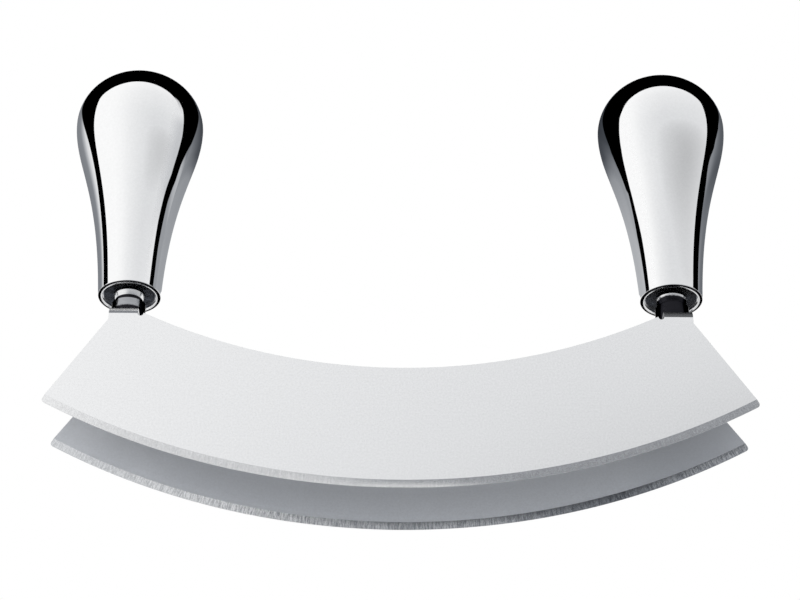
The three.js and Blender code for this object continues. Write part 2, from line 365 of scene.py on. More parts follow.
def buildBlade(name, cadNode, bend, facing, steel):
    b = bladeShape
    halfCut, halfTop = bladeOutline(bend)
    cut = mirrored(halfCut[:0:-1]) + halfCut
    top = halfTop + mirrored(halfTop[-2::-1])
    grindReach = edgeRadius - b["bevel"]
    endTurn = math.atan2(cut[-1].x, edgeRadius - cut[-1].y)
    slope = (b["sheet"] - b["land"]) / 2 / b["bevel"]
    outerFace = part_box(cadNode)[0 if facing > 0 else 1].y
    middleY = outerFace + facing * b["sheet"] / 2
    mesh = bmesh.new()
    softEdge = mesh.edges.layers.float.new("bevel_weight_edge")

    def vert(x, across, z):
        return mesh.verts.new((facing * x, middleY + facing * across, z))

    def pair(p):
        depth = edgeRadius - math.hypot(p.x, edgeRadius - p.y)
        half = min(b["sheet"] / 2, b["land"] / 2 + max(0.0, depth) * slope)
        return vert(p.x, -half, p.y), vert(p.x, half, p.y)

    def bothSides(ring):
        mesh.faces.new([p[0] for p in ring])
        mesh.faces.new([p[1] for p in ring[::-1]])

    # grinding line, straight above each point of the cutting edge
    cutPairs = [pair(p) for p in cut]
    topPairs = [pair(p) for p in top]
    grindPairs = [cutPairs[0]]
    for p in cut[1:-1]:
        turn = math.atan2(p.x, edgeRadius - p.y)
        if abs(turn) < endTurn:
            spot = Vector((grindReach * math.sin(turn), edgeRadius - grindReach * math.cos(turn)))
            grindPairs.append(pair(spot))
        else:
            grindPairs.append(cutPairs[0] if turn < 0 else cutPairs[-1])
    grindPairs.append(cutPairs[-1])

    # flat faces and ground bevels
    bothSides(list(dict.fromkeys(grindPairs)) + topPairs)
    for index in range(len(cut) - 1):
        ring = list(dict.fromkeys((*cutPairs[index:index + 2], *grindPairs[index + 1::-1][:2])))
        if len(ring) > 2:
            bothSides(ring)

    # edge of the sheet, left open where the tabs go on
    loop = list(zip(cut + top, cutPairs + topPairs))
    for index, (p, first) in enumerate(loop):
        q, second = loop[(index + 1) % len(loop)]
        tabLine = min(p.y, q.y) > bend - 1e-9 and abs(p.x - q.x) > b["tabWidth"] - 1e-7
        if tabLine and abs(p.x) > handleAxis - b["tabWidth"]:
            bentTab(mesh, vert, bend, (q.x, p.x), (second, first), softEdge)
            continue
        mesh.faces.new((second[0], first[0], first[1], second[1]))
        if index >= len(cut) - 1:
            for side in (0, 1):
                mesh.edges.get((first[side], second[side]))[softEdge] = 1.0

    finishMesh(mesh)
    piece = newPiece(name, mesh, steel)
    bevel = piece.modifiers.new("softEdges", "BEVEL")
    bevel.width = b["edgeRounding"]
    bevel.segments = 3
    bevel.limit_method = "WEIGHT"
    bevel.harden_normals = True
    dress(piece, cadNode)
    return piece


# the bend, the flat tab with its round end, and the stud's hole
def bentTab(mesh, vert, bend, ends, pairs, softEdge):
    b = bladeShape
    outer = b["bendRadius"] + b["sheet"]
    centre = outer - b["sheet"] / 2
    radii = (outer, b["bendRadius"])
    bendSteps, roundSteps = 12, 14
    rings = [pairs]
    for step in range(1, bendSteps + 1):
        turn = math.pi / 2 * step / bendSteps
        away, up = math.cos(turn), math.sin(turn)
        rings.append([[vert(x, centre - r * away, bend + r * up) for r in radii] for x in ends])
    for low, high in zip(rings, rings[1:]):
        mesh.faces.new((low[0][0], low[1][0], high[1][0], high[0][0]))
        mesh.faces.new((low[1][1], low[0][1], high[0][1], high[1][1]))
        mesh.faces.new((low[1][0], low[1][1], high[1][1], high[1][0]))
        mesh.faces.new((low[0][1], low[0][0], high[0][0], high[0][1]))
        for end in (0, 1):
            for face in (0, 1):
                mesh.edges.get((low[end][face], high[end][face]))[softEdge] = 1.0

    def arc(radius, first, last):
        spots = []
        for step in range(roundSteps + 1):
            turn = first + (last - first) * step / roundSteps
            across = b["spacing"] / 2 + radius * math.sin(turn)
            along = sum(ends) / 2 + radius * math.cos(turn)
            spots.append([vert(along, across, bend + rise) for rise in radii])
        return spots

    rim = arc(b["tabWidth"] / 2, 0, math.pi)
    farHole = arc(b["holeRadius"], 0, math.pi)
    nearHole = arc(b["holeRadius"], 0, -math.pi)[1:-1]
    left, right = rings[-1]
    near = [left, right, rim[0], farHole[0], *nearHole, farHole[-1], rim[-1]]
    for ring in [near] + [[rim[i], rim[i + 1], farHole[i + 1], farHole[i]] for i in range(roundSteps)]:
        mesh.faces.new([p[0] for p in ring])
        mesh.faces.new([p[1] for p in ring[::-1]])
    wall = [right, *rim, left]
    for first, second in zip(wall, wall[1:]):
        mesh.faces.new((first[0], first[1], second[1], second[0]))
        for face in (0, 1):
            mesh.edges.get((first[face], second[face]))[softEdge] = 1.0
    hole = [*farHole, *nearHole[::-1], farHole[0]]
    for first, second in zip(hole, hole[1:]):
        mesh.faces.new((second[0], second[1], first[1], first[0]))


def finishMesh(mesh, sharpAngle=14):
    bmesh.ops.remove_doubles(mesh, verts=mesh.verts, dist=1e-7)
    bmesh.ops.recalc_face_normals(mesh, faces=mesh.faces)
    for face in mesh.faces:
        face.smooth = True
    for edge in mesh.edges:
        edge.smooth = edge.is_manifold and edge.calc_face_angle() < math.radians(sharpAngle)


def newPiece(name, mesh, material):
    data = bpy.data.meshes.new(name)
    mesh.to_mesh(data)
    mesh.free()
    data.materials.append(material)
    piece = bpy.data.objects.new(name, data)
    scene.collection.objects.link(piece)
    return piece


def dress(piece, cadNode):
    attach(piece, "root")
    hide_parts(cadNode)


bladeSteel = buildBladeSteel()
frontBend = bladeShape["hornHeight"]
buildBlade("front_blade_satin", "front_blade", frontBend, 1, bladeSteel)
buildBlade("rear_blade_satin", "rear_blade", frontBend - bladeShape["rearDrop"], -1, bladeSteel)
print("blades made")


# Geometry Nodes tree that turns a profile curve about Z: X of the curve is the radius, Y the height downwards
def buildTurningTree():
    tree = bpy.data.node_groups.new("turnedPiece", "GeometryNodeTree")
    wanted = (("Profile", "NodeSocketObject"), ("Place", "NodeSocketVector"), ("Steps", "NodeSocketInt"),
              ("Rounding", "NodeSocketFloat"), ("Finish", "NodeSocketMaterial"))
    for label, kind in wanted:
        tree.interface.new_socket(label, in_out="INPUT", socket_type=kind)
    tree.interface.new_socket("Geometry", in_out="OUTPUT", socket_type="NodeSocketGeometry")
    given = tree.nodes.new("NodeGroupInput").outputs
    out = tree.nodes.new("NodeGroupOutput").inputs
    profile = addNode(tree, "GeometryNodeObjectInfo", {"Object": given["Profile"]}).outputs["Geometry"]
    softened = addNode(tree, "GeometryNodeFilletCurve",
                       {"Curve": profile, "Count": 4, "Radius": given["Rounding"], "Limit Radius": True},
                       mode="POLY")
    rounded = addNode(tree, "FunctionNodeCompare", {"A": given["Rounding"], "B": 0.0},
                      operation="GREATER_THAN")
    chosen = addNode(tree, "GeometryNodeSwitch",
                     {"Switch": rounded.outputs[0], "False": profile, "True": softened.outputs[0]},
                     input_type="GEOMETRY")
    # a circle so small that the profile turns about a point
    axis = addNode(tree, "GeometryNodeCurvePrimitiveCircle", {"Resolution": given["Steps"], "Radius": 1e-6})
    turned = addNode(tree, "GeometryNodeCurveToMesh",
                     {"Curve": axis.outputs[0], "Profile Curve": chosen.outputs[0]})
    closed = addNode(tree, "GeometryNodeMergeByDistance", {"Geometry": turned.outputs[0], "Distance": 4e-6})
    smooth = addNode(tree, "GeometryNodeSetShadeSmooth", {"Geometry": closed.outputs[0]})
    placed = addNode(tree, "GeometryNodeTransform",
                     {"Geometry": smooth.outputs[0], "Translation": given["Place"]})
    real = addNode(tree, "GeometryNodeRealizeInstances", {"Geometry": placed.outputs[0]})
    dressed = addNode(tree, "GeometryNodeSetMaterial",
                      {"Geometry": real.outputs[0], "Material": given["Finish"]})
    tree.links.new(dressed.outputs[0], out["Geometry"])
    return tree


turningTree = buildTurningTree()


def polyProfile(points, closed):
    curve = bpy.data.curves.new("profile", "CURVE")
    curve.dimensions = "3D"
    spline = curve.splines.new("POLY")
    spline.points.add(len(points) - 1)
    spline.use_cyclic_u = closed
    for spot, (radius, height) in zip(spline.points, points):
        spot.co = (radius, -height, 0.0, 1.0)
    return curve


# each knot is (handle before, point, handle after), as (radius, height)
def curvedProfile(knots, steps):
    curve = bpy.data.curves.new("profile", "CURVE")
    curve.dimensions = "3D"
    curve.resolution_u = steps
    spline = curve.splines.new("BEZIER")
    spline.bezier_points.add(len(knots) - 1)
    for spot, (before, here, after) in zip(spline.bezier_points, knots):
        spot.handle_left_type = spot.handle_right_type = "FREE"
        spot.handle_left = (before[0], -before[1], 0.0)
        spot.co = (here[0], -here[1], 0.0)
        spot.handle_right = (after[0], -after[1], 0.0)
    return curve


def turnPiece(name, curve, axis, steps, rounding, finish, sharpAngle):
    profile = bpy.data.objects.new("profile", curve)
    scene.collection.objects.link(profile)
    blank = bpy.data.objects.new("blank", bpy.data.meshes.new("blank"))
    scene.collection.objects.link(blank)
    modifier = blank.modifiers.new("turned", "NODES")
    modifier.node_group = turningTree
    values = {"Profile": profile, "Place": axis, "Steps": steps, "Rounding": rounding, "Finish": finish}
    for item in turningTree.interface.items_tree:
        if item.in_out == "INPUT":
            modifier[item.identifier] = values[item.name]
    evaluated = blank.evaluated_get(bpy.context.evaluated_depsgraph_get())
    made = bpy.data.meshes.new_from_object(evaluated)
    bpy.data.objects.remove(blank)
    bpy.data.objects.remove(profile)
    mesh = bmesh.new()
    mesh.from_mesh(made)
    finishMesh(mesh, sharpAngle)
    return newPiece(name, mesh, finish)


# handles
handleShape = {
    "mouthRadius": 10.0 * mm,
    "domeHeight": 18.9 * mm,
    "neckRun": 42.0 * mm,        # pull of the neck's curve up from the lip
    "neckFlare": 2.1 * mm,
    "bulbRun": 14.2 * mm,        # pull of the curve down from the widest place
    "wall": 1.5 * mm,
    "steps": 144,
    "curveSteps": 36,
}
handleLook = {
    "polish": (0.95, 0.953, 0.957, 1.0),
    "lipPaintedShade": (0.012, 0.012, 0.014, 1.0),
    "lipFront": 9.62 * mm,       # radius from which the lip is painted dark, at the front and at the sides
    "lipSide": 9.0 * mm,
    "lipHeight": (0.42 * mm, 0.5 * mm),       # and how far up
    "lipRoughness": 0.3,
    "roughness": 0.018,
    "smudgeRoughness": 0.015,
    "smudgeSize": 45.0,          # patches in a metre
    "specks": 1300.0,
}
circlePull = 0.5523              # handle length of a quarter circle with radius 1
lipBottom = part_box("left_handle_shell")[0].z
lipRadius = handleShape["wall"] / 2


def buildHandlePolish():
    look = handleLook
    material, tree, shader = newSteel("handlePolish", look["roughness"])
    place = objectPlace(tree)
    x, y, z = splitXyz(tree, place)
    # outer part of the rolled lip, painted dark: painted shade in its colour and its reflection
    out = calc(tree, "SUBTRACT", calc(tree, "ABSOLUTE", x), handleAxis)
    reach = lengthOf(tree, out, y)
    seam = spread(tree, y, -handleShape["mouthRadius"], 0.0, look["lipFront"], look["lipSide"])
    low = spread(tree, z, *[lipBottom + height for height in look["lipHeight"]], 1.0, 0.0)
    wide = spread(tree, calc(tree, "SUBTRACT", reach, seam), -0.04 * mm, 0.04 * mm)
    onLip = calc(tree, "MULTIPLY", low, wide)
    grain = useGroup(tree, steelGrain, {"Place": place, "Specks": look["specks"]})
    haze = spread(tree, grain["Speck"], *noiseRange, 0.97, 1.02)
    polish = mixColor(tree, 1.0, look["polish"], haze, "MULTIPLY")
    tree.links.new(mixColor(tree, onLip, polish, look["lipPaintedShade"]), shader.inputs["Base Color"])
    # the painted shade darkens the lip's reflection too
    tree.links.new(mixColor(tree, onLip, white, look["lipPaintedShade"]), shader.inputs["Specular Tint"])
    smudge = useGroup(tree, handSmudge, {"Place": place, "Size": look["smudgeSize"]})["Smudge"]
    rough = spread(tree, smudge, 0.0, 1.0, look["roughness"], look["roughness"] + look["smudgeRoughness"])
    tree.links.new(mixValue(tree, onLip, rough, look["lipRoughness"]), shader.inputs["Roughness"])
    return material


def buildHandle(side, polish):
    h = handleShape
    low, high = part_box(side + "_handle_shell")
    axis = Vector(((low.x + high.x) / 2, 0.0, 0.0))
    bulb = (high.x - low.x) / 2
    lip, mouth, wall = low.z, h["mouthRadius"], h["wall"]
    widest = high.z - h["domeHeight"]
    neckPull = lip + h["neckRun"]
    bulbPull = widest - h["bulbRun"]
    lipTop = lip + lipRadius
    lipPull = lipTop - circlePull * lipRadius
    middle = mouth - lipRadius

    def domePull(inset):
        return widest + circlePull * (h["domeHeight"] - inset)

    knots = [
        ((0, high.z), (0, high.z), (circlePull * bulb, high.z)),
        ((bulb, domePull(0)), (bulb, widest), (bulb, bulbPull)),
        ((mouth + h["neckFlare"], neckPull), (mouth, lipTop), (mouth, lipPull)),
        ((middle + circlePull * lipRadius, lip), (middle, lip), (middle - circlePull * lipRadius, lip)),
        ((mouth - wall, lipPull), (mouth - wall, lipTop), (mouth + h["neckFlare"] - wall, neckPull)),
        ((bulb - wall, bulbPull), (bulb - wall, widest), (bulb - wall, domePull(wall))),
        ((circlePull * (bulb - wall), high.z - wall), (0, high.z - wall), (0, high.z - wall)),
    ]
    piece = turnPiece(side + "_handle_polished", curvedProfile(knots, h["curveSteps"]), axis, h["steps"], 0.0,
                      polish, 60)
    piece.visible_glossy = False     # the polish mirrors the studio and not the other handle
    dress(piece, side + "_handle_shell")


# plugs, studs and washers
fittingShape = {
    "shank": 3.0 * mm,
    "hole": 3.3 * mm,
    "collar": 5.15 * mm,
    "collarHeight": 2.4 * mm,
    "groove": 4.2 * mm,
    "grooveHeight": 0.9 * mm,
    "neck": 5.4 * mm,
    "foot": 4.0 * mm,
    "footCurve": ((0.55, 0.12), (0.9, 0.5)),  # shares of its radius and its height
    "seat": 0.3 * mm,            # gap between pieces that sit on each other
    "rounding": 0.25 * mm,
    "steps": 96,
}
fittingLook = {
    "collar": (0.85, 0.855, 0.86, 1.0),
    "neck": (0.40, 0.41, 0.43, 1.0),
    "paintedShade": (0.02, 0.02, 0.024, 1.0),        # painted shade on the studs and in the groove
    "unshadedFront": 3.84 * mm,      # the left neck keeps its tone at the front, from this far out; round the sides and back it has painted shade
    "leftShadeTop": 69.4 * mm,       # how far up the painted shade goes on the left stud
    "rightShadeDrop": 0.9 * mm,      # how far below the top of the collar it ends on the right one
    "ragged": 0.2 * mm,          # the painted shade's edge wavers by this, so often in a metre
    "raggedWaves": 1500.0,
    "collarEdge": (0.45 * mm, 0.6 * mm),      # above the base of the collar, where its bright side starts
    "grooveEdge": (-0.45 * mm, -0.3 * mm),    # about the top of the neck, where the groove's painted shade starts
    "plug": (0.05, 0.056, 0.072, 1.0),
    "plugStain": (0.013, 0.015, 0.021, 1.0),
    "plugRightShade": 0.55,           # painted shade: the right one is darker
    "plugFrontShade": 0.08,           # and both painted darker towards the front, between these places
    "plugFrontFrom": (-6.5 * mm, -1.0 * mm),
    "nut": (0.6, 0.605, 0.61, 1.0),
    "turnedRoughness": 0.14,
    "plugRoughness": 0.45,
    "turnedGrain": {"Streaks": (300.0, 300.0, 9000.0), "Specks": 1500.0},
    "plugGrain": {"Streaks": (900.0, 900.0, 900.0), "Specks": 260.0},
    "nutGrain": {"Streaks": (400.0, 400.0, 5000.0), "Specks": 800.0},
}
tabTop = frontBend + bladeShape["bendRadius"] + bladeShape["sheet"]
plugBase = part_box("left_end_plug")[0].z
collarTop = plugBase - fittingShape["seat"]
collarBase = collarTop - fittingShape["collarHeight"]
neckTop = collarBase - fittingShape["grooveHeight"]


def buildTurnedSteel():
    look = fittingLook
    material, tree, shader = newSteel("turnedSteel", look["turnedRoughness"])
    place = objectPlace(tree)
    x, y, z = splitXyz(tree, place)
    grain = useGroup(tree, steelGrain, {"Place": place, **look["turnedGrain"]})
    onCollar = spread(tree, z, *[collarBase + height for height in look["collarEdge"]])
    tone = mixColor(tree, onCollar, look["neck"], look["collar"])
    # painted shade up to its ragged edge, all round the back and in the groove
    isRight = calc(tree, "GREATER_THAN", x, 0.0)
    shadeTop = mixValue(tree, isRight, look["leftShadeTop"], collarTop - look["rightShadeDrop"])
    waver = addNode(tree, "ShaderNodeTexNoise",
                    {"Vector": place, "Scale": look["raggedWaves"], "Detail": 2.0, "Roughness": 0.7})
    ragged = spread(tree, waver.outputs[0], *noiseRange, -look["ragged"], look["ragged"])
    aboveShade = calc(tree, "ADD", calc(tree, "SUBTRACT", z, shadeTop), ragged)
    paintedShade = spread(tree, aboveShade, -0.2 * mm, 0.2 * mm, 1.0, 0.0)
    behind = calc(tree, "ADD", calc(tree, "ADD", y, look["unshadedFront"]), ragged)
    behind = spread(tree, behind, -0.25 * mm, 0.25 * mm)
    behind = calc(tree, "MULTIPLY", behind, calc(tree, "SUBTRACT", 1.0, onCollar))
    paintedShade = calc(tree, "MAXIMUM", paintedShade, behind)
    aboveNeck = spread(tree, z, *[neckTop + height for height in look["grooveEdge"]])
    inGroove = calc(tree, "SUBTRACT", aboveNeck, onCollar)
    paintedShade = calc(tree, "MAXIMUM", paintedShade, inGroove)
    tone = mixColor(tree, paintedShade, tone, look["paintedShade"])
    # the painted shade darkens the reflection too
    tree.links.new(mixColor(tree, paintedShade, white, look["paintedShade"]), shader.inputs["Specular Tint"])
    worn = spread(tree, grain["Streak"], *noiseRange, 0.85, 1.1)
    tree.links.new(mixColor(tree, 1.0, tone, worn, "MULTIPLY"), shader.inputs["Base Color"])
    rough = look["turnedRoughness"]
    rough = spread(tree, grain["Speck"], *noiseRange, rough - 0.04, rough + 0.06)
    tree.links.new(rough, shader.inputs["Roughness"])
    bump(tree, shader, grain["Streak"], 0.2, 0.02 * mm)
    return material


def buildPlugSteel():
    look = fittingLook
    material, tree, shader = newSteel("plugSteel", look["plugRoughness"])
    place = objectPlace(tree)
    grain = useGroup(tree, steelGrain, {"Place": place, **look["plugGrain"]})
    stain = spread(tree, grain["Speck"], 0.38, 0.62)
    x, y, z = splitXyz(tree, place)
    # painted shade: darker on the right and towards the front
    isRight = calc(tree, "GREATER_THAN", x, 0.0)
    shade = mixValue(tree, isRight, 1.0, look["plugRightShade"])
    front = spread(tree, y, *look["plugFrontFrom"], look["plugFrontShade"], 1.0)
    shade = calc(tree, "MULTIPLY", shade, front)
    tone = mixColor(tree, stain, look["plugStain"], look["plug"])
    tree.links.new(mixColor(tree, 1.0, tone, shade, "MULTIPLY"), shader.inputs["Base Color"])
    tree.links.new(spread(tree, grain["Streak"], *noiseRange, 0.4, 0.52), shader.inputs["Roughness"])
    bump(tree, shader, grain["Streak"], 0.12, 0.05 * mm)
    return material


def buildNutSteel():
    look = fittingLook
    material, tree, shader = newSteel("nutSteel", 0.35)
    grain = useGroup(tree, steelGrain, {"Place": objectPlace(tree), **look["nutGrain"]})
    worn = spread(tree, grain["Speck"], *noiseRange, 0.8, 1.1)
    tree.links.new(mixColor(tree, 1.0, look["nut"], worn, "MULTIPLY"), shader.inputs["Base Color"])
    tree.links.new(spread(tree, grain["Streak"], *noiseRange, 0.28, 0.42), shader.inputs["Roughness"])
    return material


def buildStud(side, steel):
    f = fittingShape
    low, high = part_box(side + "_stud")
    axis = Vector(((low.x + high.x) / 2, 0.0, 0.0))
    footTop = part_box(side + "_clench_washer")[0].z - f["seat"]
    points = [
        (0.0, low.z),
        *[(out * f["foot"], low.z + up * (footTop - low.z)) for out, up in f["footCurve"]],
        (f["foot"], footTop),
        (f["shank"], footTop),
        (f["shank"], tabTop + f["seat"]),
        (f["neck"], tabTop + f["seat"]),
        (f["neck"], neckTop),
        (f["groove"], neckTop),
        (f["groove"], collarBase),
        (f["collar"], collarTop),
        (f["shank"], collarTop),
        (f["shank"], high.z),
        (0.0, high.z),
    ]
    piece = turnPiece(side + "_stud_turned", polyProfile(points, False), axis, f["steps"], f["rounding"],
                      steel, 40)
    dress(piece, side + "_stud")


def buildRing(name, cadNode, finish):
    f = fittingShape
    low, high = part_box(cadNode)
    axis = Vector(((low.x + high.x) / 2, 0.0, 0.0))
    radius = (high.x - low.x) / 2
    points = [(f["hole"], low.z), (radius, low.z), (radius, high.z), (f["hole"], high.z)]
    piece = turnPiece(name, polyProfile(points, True), axis, f["steps"], f["rounding"], finish, 40)
    dress(piece, cadNode)


handlePolish = buildHandlePolish()
turnedSteel = buildTurnedSteel()
plugSteel = buildPlugSteel()
nutSteel = buildNutSteel()
for side in sides:
    buildHandle(side, handlePolish)
    buildStud(side, turnedSteel)
    buildRing(side + "_plug_face", side + "_end_plug", plugSteel)
    buildRing(side + "_washer_turned", side + "_clench_washer", turnedSteel)
    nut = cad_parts[side + "_lock_nut"]
    nut.data.materials.clear()
    nut.data.materials.append(nutSteel)
print("handles and fittings made")

# studio: white all round and a black board overhead. Tinted sheets in front and behind, a card between the
# handles and a tint on the floor behind the knife tone what the metal mirrors
studio = {
    "floorTone": (0.82, 0.82, 0.82, 1.0),
    "floorSize": 3.0,
    "floorFade": (0.3, 0.9),     # the floor goes over into the white between these distances
    "ambient": 0.45,             # share of the white that reaches the floor
    "boardHeight": 0.30,
    # corners of the board, left to right along its front and back again
    "boardFront": ((-2.5, -0.066), (-0.27, -0.066), (-0.15, -0.08), (0.15, -0.08), (0.27, -0.066),
                   (2.5, -0.066)),
    "boardBack": ((2.5, 0.10), (0.70, 0.10), (0.655, 0.12), (0.60, 0.143), (0.55, 0.153), (0.50, 0.143),
                  (0.36, 0.14), (0.20, 0.10), (-2.5, 0.10)),
    "frontRadius": 0.30,
    "frontHeight": 1.4,
    "frontSteps": 90,
    # tones of the front sheet by degrees round to the right
    "frontTones": ((-90, 1.0), (-58, 1.0), (-45, 0.97), (-25, 0.87), (-5, 0.80), (15, 0.755), (35, 0.755),
                   (90, 0.77)),
    "frontFade": ((0.20, 0.0), (0.30, 0.3), (0.55, 0.65)),   # how far the sheet has thinned at which height
    "frontFoot": ((-90, 1.0), (-50, 1.0), (-42, 0.97), (-35, 0.87), (-28, 0.73), (-20, 0.61), (-8, 0.50),
                  (3, 0.51), (16, 0.53), (25, 0.48), (45, 0.46), (65, 0.50), (90, 0.57)),
    "footHeights": (0.05, 0.13),     # the foot of the sheet is darker still, up to here
    "frontSpan": 86.0,           # degrees to each side
    "apronHeight": 0.0003,       # the sheet goes on over the floor, back to the blades
    "cloudTurn": 58.0,           # a darker patch in the sheet, degrees round to the right
    "cloudWidth": 60.0,
    "cloudHeight": 0.14,
    "cloudRise": 0.055,
    "cloudDepth": 0.37,
    "rearPlace": 0.03,
    "rearHalf": 1.0,
    "rearHeights": (0.096, 0.30),
    "blackFrom": (0.159, 0.190),     # height from which the sheet is black, midway and beside the handles
    "blackOuter": 0.183,             # and outside them
    # its tones outside the handles from left to right, and a shade by height on the right
    "rearOuter": ((-0.31, 0.80), (-0.257, 0.86), (-0.222, 0.72), (-0.202, 0.72), (-0.182, 0.52),
                  (-0.172, 0.45), (-0.162, 0.34), (-0.152, 0.25), (-0.125, 0.225), (0.125, 0.16),
                  (0.142, 0.175), (0.157, 0.215), (0.172, 0.27), (0.192, 0.34), (0.213, 0.39), (0.31, 0.45)),
    "rearRight": ((0.096, 0.96), (0.13, 1.0), (0.138, 0.74), (0.146, 0.555), (0.156, 0.63)),
    "middleHalf": 0.05,              # how far the tones of the middle reach
    "blackReach": 62.0 * mm,         # place beside the handles
    # tones between the handles by height, beside the left and the right one, and midway likewise
    "rearInner": (
        ((0.096, 0.37), (0.119, 0.34), (0.138, 0.29), (0.143, 0.148), (0.148, 0.085), (0.165, 0.06)),
        ((0.096, 0.48), (0.119, 0.44), (0.138, 0.30), (0.143, 0.148), (0.148, 0.075), (0.165, 0.045)),
    ),
    "rearMiddle": (
        ((0.096, 0.39), (0.125, 0.39), (0.138, 0.34), (0.145, 0.28), (0.16, 0.2)),
        ((0.096, 0.52), (0.125, 0.52), (0.138, 0.36), (0.145, 0.27), (0.152, 0.14), (0.16, 0.07)),
    ),
    "backApron": (0.02, 0.45),       # a tint on the floor behind the knife, from and to
    "backTones": ((-0.35, 0.72), (0.0, 0.80), (0.35, 0.92)),
    "cardVeil": (-0.060, -0.024),    # a card stands midway before the rear sheet and thins out to the front
    "cardTop": (0.205, 0.215),       # and to the top
    # by height, for the left and the right handle: where its black stripe starts and ends, and the tones
    # in front of it and behind it
    "stripeFront": (
        ((0.121, -0.0225), (0.128, -0.0235), (0.131, -0.0195), (0.134, -0.0125), (0.139, -0.0115),
         (0.148, -0.0125), (0.157, -0.0155), (0.174, -0.019), (0.181, -0.021), (0.188, -0.0255),
         (0.211, -0.039)),
        ((0.121, -0.0055), (0.127, -0.0055), (0.131, -0.0015), (0.134, -0.002), (0.142, -0.0115),
         (0.149, -0.016), (0.16, -0.021), (0.172, -0.0245), (0.185, -0.033), (0.207, -0.0465)),
    ),
    "stripeBack": (
        ((0.122, 0.005), (0.126, 0.002), (0.133, 0.0035), (0.138, 0.0125), (0.142, 0.0135),
         (0.149, 0.02), (0.16, 0.031)),
        ((0.125, 0.0215), (0.132, 0.0225), (0.136, 0.0125), (0.138, 0.018), (0.146, 0.025), (0.156, 0.031)),
    ),
    "cardFront": (
        ((0.121, 0.86), (0.125, 0.85), (0.128, 0.76), (0.131, 0.62), (0.137, 0.575), (0.157, 0.60),
         (0.17, 0.8)),
        ((0.121, 1.0), (0.17, 1.0)),
    ),
    "cardBack": (
        ((0.122, 0.33), (0.134, 0.33), (0.137, 0.44), (0.142, 0.49), (0.149, 0.21), (0.162, 0.15)),
        ((0.125, 0.51), (0.13, 0.50), (0.134, 0.40), (0.138, 0.345), (0.141, 0.31), (0.146, 0.215),
         (0.155, 0.10)),
    ),
    "lampPlace": (-0.15, -0.1, 1.1),
    "lampSize": 0.9,
    "lampPower": 9.0,
}


# rays that show the white studio
def seenRay(tree):
    path = addNode(tree, "ShaderNodeLightPath").outputs
    bounced = calc(tree, "MAXIMUM", path["Is Glossy Ray"], path["Is Transmission Ray"])
    return calc(tree, "MAXIMUM", path["Is Camera Ray"], bounced)


def buildWorld():
    world = bpy.data.worlds.new("studioWorld")
    scene.world = world
    world.use_nodes = True
    tree = world.node_tree
    tree.nodes.clear()
    full = addNode(tree, "ShaderNodeBackground", {"Color": white, "Strength": 1.0})
    dim = addNode(tree, "ShaderNodeBackground", {"Color": white, "Strength": studio["ambient"]})
    mixed = addNode(tree, "ShaderNodeMixShader", {0: seenRay(tree), 1: dim.outputs[0], 2: full.outputs[0]})
    out = tree.nodes.new("ShaderNodeOutputWorld")
    tree.links.new(mixed.outputs[0], out.inputs["Surface"])


def buildFloor():
    material = bpy.data.materials.new("studioFloor")
    material.use_nodes = True
    tree = material.node_tree
    shader = tree.nodes["Principled BSDF"]
    shader.inputs["Base Color"].default_value = studio["floorTone"]
    shader.inputs["Roughness"].default_value = 0.9
    shader.inputs["Specular IOR Level"].default_value = 0.0
    away = addNode(tree, "ShaderNodeVectorMath", {0: objectPlace(tree)}, operation="LENGTH").outputs["Value"]
    far = calc(tree, "MULTIPLY", seenRay(tree), spread(tree, away, *studio["floorFade"]))
    glow = addNode(tree, "ShaderNodeEmission", {"Color": white, "Strength": 1.0})
    faded = addNode(tree, "ShaderNodeMixShader", {0: far, 1: shader.outputs[0], 2: glow.outputs[0]})
    clear = tree.nodes.new("ShaderNodeBsdfTransparent")
    below = tree.nodes.new("ShaderNodeNewGeometry").outputs["Backfacing"]
    mixed = addNode(tree, "ShaderNodeMixShader", {0: below, 1: faded.outputs[0], 2: clear.outputs[0]})
    tree.links.new(mixed.outputs[0], tree.nodes["Material Output"].inputs["Surface"])
    mesh = bmesh.new()
    bmesh.ops.create_grid(mesh, x_segments=1, y_segments=1, size=studio["floorSize"])
    floor = newPiece("studio_floor", mesh, material)


def bareMaterial(name, shaderKind):
    material = bpy.data.materials.new(name)
    material.use_nodes = True
    tree = material.node_tree
    tree.nodes.clear()
    shader = tree.nodes.new(shaderKind)
    out = tree.nodes.new("ShaderNodeOutputMaterial")
    tree.links.new(shader.outputs[0], out.inputs["Surface"])
    return material, tree, shader


# only the metal's reflections show these
def setBesideCamera(piece):
    piece.visible_camera = False
    piece.visible_diffuse = False
    piece.visible_shadow = False
    piece.visible_transmission = False


def buildBoard():
    s = studio
    material, tree, shader = bareMaterial("boardBlack", "ShaderNodeEmission")
    shader.inputs["Color"].default_value = black
    mesh = bmesh.new()
    spots = s["boardFront"] + s["boardBack"]
    mesh.faces.new([mesh.verts.new((x, y, s["boardHeight"])) for x, y in spots])
    setBesideCamera(newPiece("studio_board", mesh, material))


